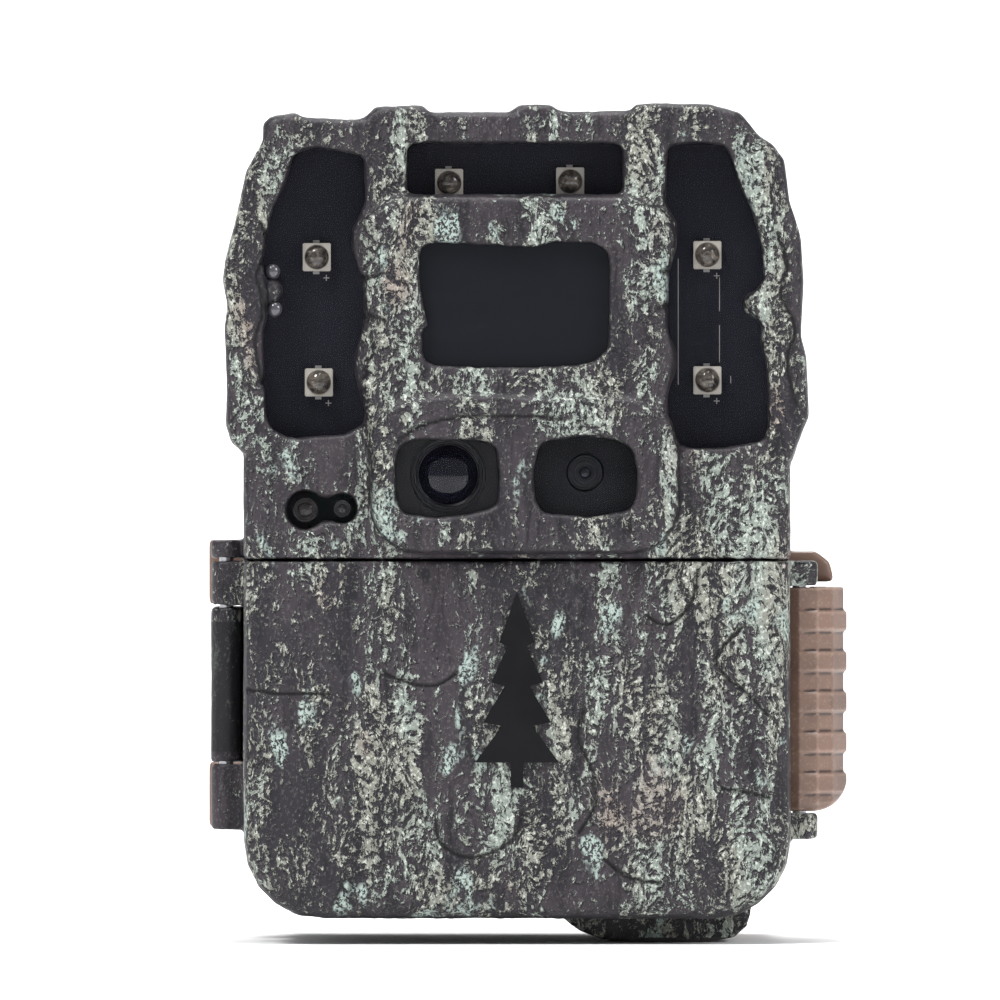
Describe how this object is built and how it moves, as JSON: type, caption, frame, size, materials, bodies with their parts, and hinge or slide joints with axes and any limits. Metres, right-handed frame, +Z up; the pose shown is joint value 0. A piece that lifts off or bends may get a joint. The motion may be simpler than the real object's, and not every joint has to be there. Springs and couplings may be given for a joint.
{
  "type": "trail camera",
  "caption": "Box-shaped wildlife camera with a wavy infrared light frame, hinged front door, side latch, rear strap rails and a battery tray that slides out below.",
  "frame": {"origin": "middle of the overall box in X and Y, on the floor under the tripod foot", "axes": "+X to the viewer's right of the camera's face, +Y to the back (the tree), +Z up"},
  "size_m": [0.0916, 0.0664, 0.12],
  "materials": {
    "camouflage": "moulded bark relief with a printed grey bark and pale lichen pattern, satin",
    "tan_plastic": "fine-grained moulded tan-brown plastic, satin",
    "black_plastic": "fine-textured black moulding",
    "rubber": "soft matte rubber",
    "clear_pane": "smooth smoked acrylic",
    "dark_pane": "smooth dark filter plastic, glossy",
    "lens_glass": "coated optical glass",
    "black_board": "black solder mask",
    "circuit_board": "green solder mask",
    "led_ceramic": "pale ceramic LED package",
    "steel": "plated steel",
    "brass": "machined brass",
    "cell_wrap": "dark printed cell sleeve without lettering"
  },
  "bodies": {
    "housing": {"battery_contact_board": "circuit_board", "card_socket": "steel", "case_gasket": "rubber", "case_screw_1": "steel", "case_screw_2": "steel", "case_screw_3": "steel", "case_screw_4": "steel", "control_panel": "black_plastic", "display_module": "black_plastic", "display_window": "clear_pane", "front_housing": "camouflage", "hinge_pin": "steel", "image_sensor_board": "circuit_board", "infrared_led_left_lower": "led_ceramic", "infrared_led_left_upper": "led_ceramic", "infrared_led_right_lower": "led_ceramic", "infrared_led_right_upper": "led_ceramic", "infrared_led_top_left": "led_ceramic", "infrared_led_top_right": "led_ceramic", "key_board": "circuit_board", "light_board": "black_board", "light_cover_left": "clear_pane", "light_cover_right": "clear_pane", "light_cover_top": "clear_pane", "light_sensor": "lens_glass", "main_board": "circuit_board", "main_lens_barrel": "black_plastic", "main_lens_glass": "lens_glass", "main_lens_window": "clear_pane", "microphone": "steel", "motion_sensor": "steel", "motion_window": "dark_pane", "power_jack": "black_plastic", "rear_shell": "tan_plastic", "second_camera": "black_plastic", "second_lens_window": "clear_pane", "sensor_window": "clear_pane", "status_led": "clear_pane", "tripod_insert": "brass"},
    "door": {"door": "camouflage", "door_gasket": "rubber", "emblem": "black_plastic", "latch_pin": "steel"},
    "latch": {"latch_lever": "tan_plastic"},
    "power_switch": {"power_switch": "tan_plastic"},
    "memory_card": {"memory_card": "black_plastic"},
    "port_plug": {"port_plug": "rubber"},
    "battery_tray": {"battery_tray": "black_plastic", "aa_cell_1": "cell_wrap", "aa_cell_2": "cell_wrap", "aa_cell_3": "cell_wrap", "aa_cell_4": "cell_wrap", "aa_cell_5": "cell_wrap", "aa_cell_6": "cell_wrap"},
    "key_up": {"key_up": "rubber"},
    "key_down": {"key_down": "rubber"},
    "key_left": {"key_left": "rubber"},
    "key_right": {"key_right": "rubber"},
    "key_enter": {"key_enter": "rubber"},
    "key_mode": {"key_mode": "rubber"}
  },
  "joints": [
    {"name": "door_hinge", "type": "hinge", "parent": "housing", "child": "door", "pos_m": [-0.04303, -0.0182, 0.03], "axis": [0, 0, -1], "range_deg": [0, 110]},
    {"name": "latch_pivot", "type": "hinge", "parent": "door", "child": "latch", "pos_m": [0.03898, -0.0206, 0.035], "axis": [0, 0, -1], "range_deg": [0, 75]},
    {"name": "battery_tray_slide", "type": "slide", "parent": "housing", "child": "battery_tray", "axis": [0, 0, -1], "range_m": [0, 0.06]},
    {"name": "power_switch_slide", "type": "slide", "parent": "housing", "child": "power_switch", "axis": [1, 0, 0], "range_m": [0, 0.006]},
    {"name": "memory_card_slide", "type": "slide", "parent": "housing", "child": "memory_card", "axis": [0, 0, -1], "range_m": [0, 0.005]},
    {"name": "port_plug_slide", "type": "slide", "parent": "housing", "child": "port_plug", "axis": [0, 0, -1], "range_m": [0, 0.009]},
    {"name": "key_up_press", "type": "slide", "parent": "housing", "child": "key_up", "axis": [0, 1, 0], "range_m": [0, 0.0008], "stiffness_N_per_m": 300},
    {"name": "key_down_press", "type": "slide", "parent": "housing", "child": "key_down", "axis": [0, 1, 0], "range_m": [0, 0.0008], "stiffness_N_per_m": 300},
    {"name": "key_left_press", "type": "slide", "parent": "housing", "child": "key_left", "axis": [0, 1, 0], "range_m": [0, 0.0008], "stiffness_N_per_m": 300},
    {"name": "key_right_press", "type": "slide", "parent": "housing", "child": "key_right", "axis": [0, 1, 0], "range_m": [0, 0.0008], "stiffness_N_per_m": 300},
    {"name": "key_enter_press", "type": "slide", "parent": "housing", "child": "key_enter", "axis": [0, 1, 0], "range_m": [0, 0.0008], "stiffness_N_per_m": 300},
    {"name": "key_mode_press", "type": "slide", "parent": "housing", "child": "key_mode", "axis": [0, 1, 0], "range_m": [0, 0.0008], "stiffness_N_per_m": 300}
  ]
}
